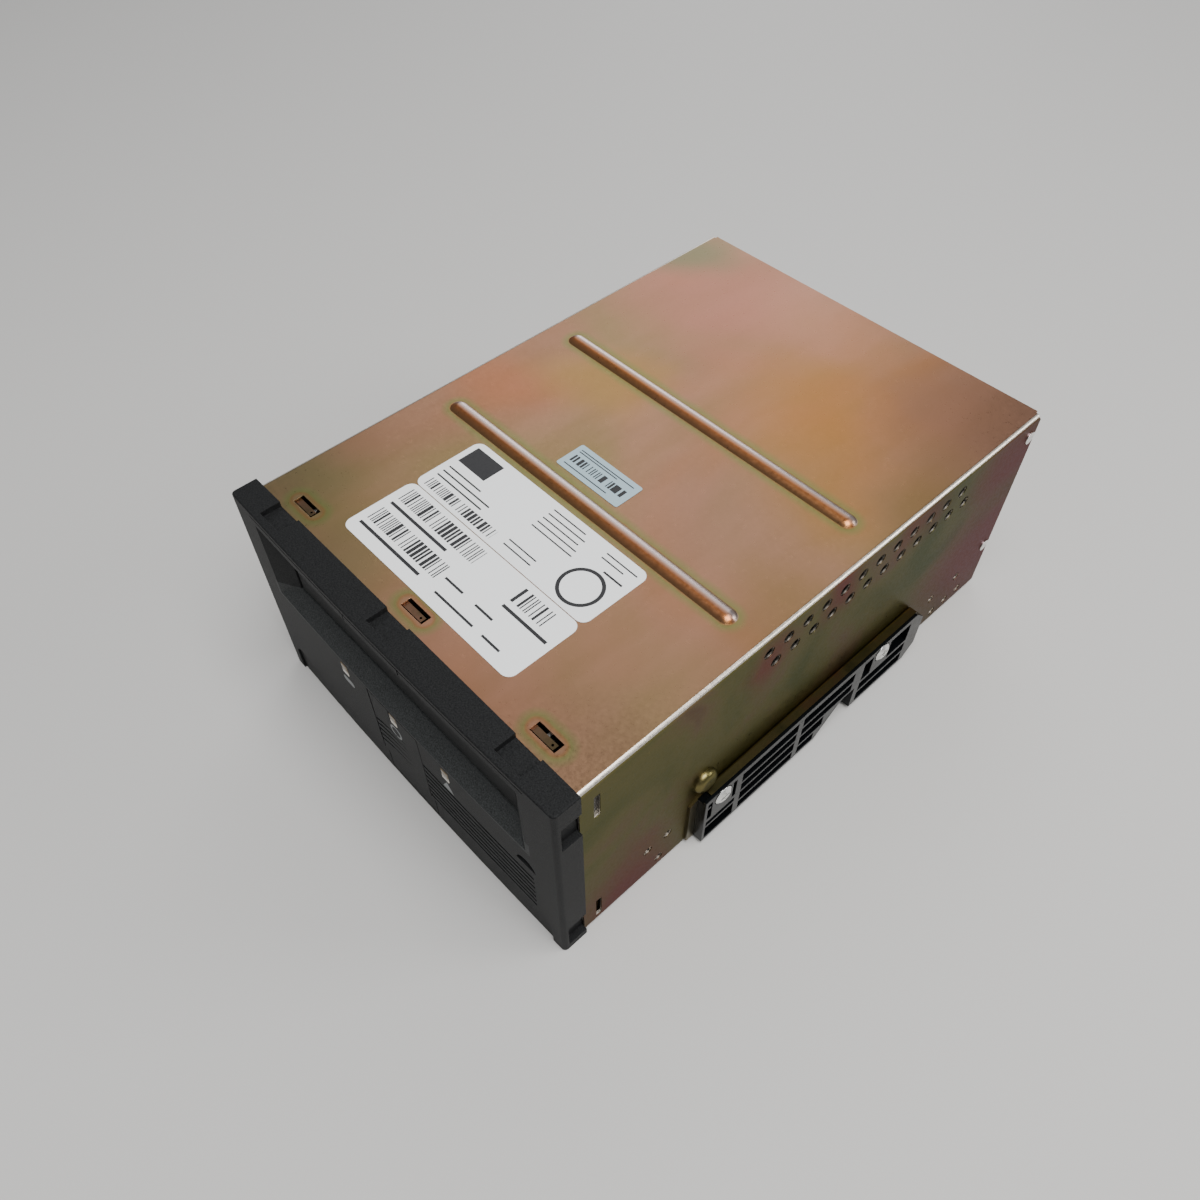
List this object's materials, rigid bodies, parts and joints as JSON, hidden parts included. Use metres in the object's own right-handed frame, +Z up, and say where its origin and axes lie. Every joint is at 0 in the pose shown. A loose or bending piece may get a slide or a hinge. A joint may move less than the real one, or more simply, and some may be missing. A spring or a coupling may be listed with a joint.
{
  "type": "tape drive",
  "caption": "Full-height 5.25 inch internal tape drive: folded sheet case, bowed bezel with cartridge slot and sprung door, side rails, reels, rollers, head lift and cartridge loader inside.",
  "frame": {"origin": "bottom centre of the whole drive", "axes": "+X right seen from the front, +Y from the bezel to the rear, +Z up"},
  "size_m": [0.1568, 0.2133, 0.0861],
  "materials": {
    "cover_steel": "yellow chromate over zinc, satin, with faint rainbow stains",
    "bracket_steel": "yellow chromate over zinc, satin",
    "bezel_plastic": "fine spark-eroded texture, charcoal",
    "rail_plastic": "smooth black moulding",
    "screw_zinc": "bright zinc plate",
    "lens_clear": "clear acrylic",
    "board_green": "solder mask",
    "part_black": "moulded electronic parts",
    "cast_aluminium": "machined casting and sheet",
    "plain_steel": "plain steel",
    "mount_rubber": "moulded rubber",
    "motor_shell": "satin",
    "reel_plastic": "satin",
    "gear_nylon": "natural nylon",
    "roller_metal": "polished",
    "head_ceramic": "lapped ceramic"
  },
  "bodies": {
    "chassis": {"top_cover": "cover_steel", "chassis_tray": "cover_steel", "front_strap": "cover_steel", "rear_panel": "cover_steel", "front_bezel": "bezel_plastic", "light_pipes": "lens_clear", "front_board": "board_green", "front_board_parts": "part_black", "eject_switch": "part_black", "front_board_screws": "screw_zinc", "eject_spring": "plain_steel", "rail_bracket_right": "bracket_steel", "rail_bracket_left": "bracket_steel", "rail_right": "rail_plastic", "rail_left": "rail_plastic", "rail_screws_right": "screw_zinc", "rail_screws_left": "screw_zinc", "cover_screws": "screw_zinc", "deck_plate": "cast_aluminium", "deck_posts": "plain_steel", "deck_isolators": "mount_rubber", "deck_screws": "screw_zinc", "supply_motor": "motor_shell", "take_up_motor": "motor_shell", "guide_plate": "cast_aluminium", "roller_posts": "plain_steel", "head_rods": "plain_steel", "head_bridge": "cast_aluminium", "head_motor": "motor_shell", "loader_frame_right": "plain_steel", "loader_frame_left": "plain_steel", "loader_bracket": "plain_steel", "cam_axle": "plain_steel", "loader_motor": "motor_shell", "main_board": "board_green", "board_spacers": "plain_steel", "board_screws": "screw_zinc", "board_chips": "part_black", "data_connector": "part_black", "power_connector": "part_black", "jumper_block": "part_black"},
    "door": {"tape_door": "bezel_plastic", "door_spring": "plain_steel"},
    "button": {"eject_button": "bezel_plastic"},
    "carrier": {"cartridge_carrier": "cast_aluminium", "carrier_pins": "plain_steel"},
    "supply_hub": {"drive_coupling": "reel_plastic"},
    "take_up": {"take_up_reel": "reel_plastic", "take_up_spindle": "plain_steel"},
    "roller_1": {"guide_roller_1": "roller_metal"},
    "roller_2": {"guide_roller_2": "roller_metal"},
    "roller_3": {"guide_roller_3": "roller_metal"},
    "roller_4": {"guide_roller_4": "roller_metal"},
    "head": {"head_carriage": "cast_aluminium", "tape_head": "head_ceramic"},
    "head_screw": {"lead_screw": "plain_steel"},
    "cam": {"loader_cam": "gear_nylon"},
    "pinion": {"loader_pinion": "gear_nylon"}
  },
  "joints": [
    {"name": "door_swing", "type": "hinge", "parent": "chassis", "child": "door", "pos_m": [0, -0.10078, 0.08185], "axis": [1, 0, 0], "range_deg": [0, 88], "stiffness_Nm_per_rad": 0.002, "springref_deg": -20.05},
    {"name": "eject_press", "type": "slide", "parent": "chassis", "child": "button", "axis": [0, 1, 0], "range_m": [0, 0.0008], "stiffness_N_per_m": 600, "springref_m": -0.0015, "deforming": ["eject_spring"]},
    {"name": "carrier_drop", "type": "slide", "parent": "chassis", "child": "carrier", "axis": [0, 0, -1], "range_m": [0, 0.005]},
    {"name": "cam_turn", "type": "hinge", "parent": "chassis", "child": "cam", "pos_m": [0.0563, -0.00857, 0.0635], "axis": [1, 0, 0], "range_deg": [0, 150]},
    {"name": "pinion_turn", "type": "hinge", "parent": "chassis", "child": "pinion", "pos_m": [0.0563, -0.02937, 0.0635], "axis": [1, 0, 0], "range_deg": [-500.1, 0]},
    {"name": "supply_spin", "type": "hinge", "parent": "chassis", "child": "supply_hub", "pos_m": [0, -0.03857, 0.0465], "axis": [0, 0, 1], "continuous": true},
    {"name": "take_up_spin", "type": "hinge", "parent": "chassis", "child": "take_up", "pos_m": [-0.014, 0.05643, 0.0545], "axis": [0, 0, 1], "continuous": true},
    {"name": "head_lift", "type": "slide", "parent": "chassis", "child": "head", "axis": [0, 0, 1], "range_m": [-0.004, 0.004]},
    {"name": "head_screw_turn", "type": "hinge", "parent": "chassis", "child": "head_screw", "pos_m": [0.03784, 0.05643, 0.0615], "axis": [0, 0, 1], "range_deg": [-720.1, 720.1]},
    {"name": "roller_1_spin", "type": "hinge", "parent": "chassis", "child": "roller_1", "pos_m": [0.03906, 0.02064, 0.0615], "axis": [0, 0, 1], "continuous": true},
    {"name": "roller_2_spin", "type": "hinge", "parent": "chassis", "child": "roller_2", "pos_m": [0.04651, 0.03559, 0.0615], "axis": [0, 0, 1], "continuous": true},
    {"name": "roller_3_spin", "type": "hinge", "parent": "chassis", "child": "roller_3", "pos_m": [0.04651, 0.07726, 0.0615], "axis": [0, 0, 1], "continuous": true},
    {"name": "roller_4_spin", "type": "hinge", "parent": "chassis", "child": "roller_4", "pos_m": [0.03906, 0.09221, 0.0615], "axis": [0, 0, 1], "continuous": true}
  ],
  "couplings": [
    {"joint": "carrier_drop", "follows": "cam_turn", "m_per_rad": 0.0019099},
    {"joint": "pinion_turn", "follows": "cam_turn", "ratio": -3.3333},
    {"joint": "head_screw_turn", "follows": "head_lift", "rad_per_m": 3141.6}
  ]
}
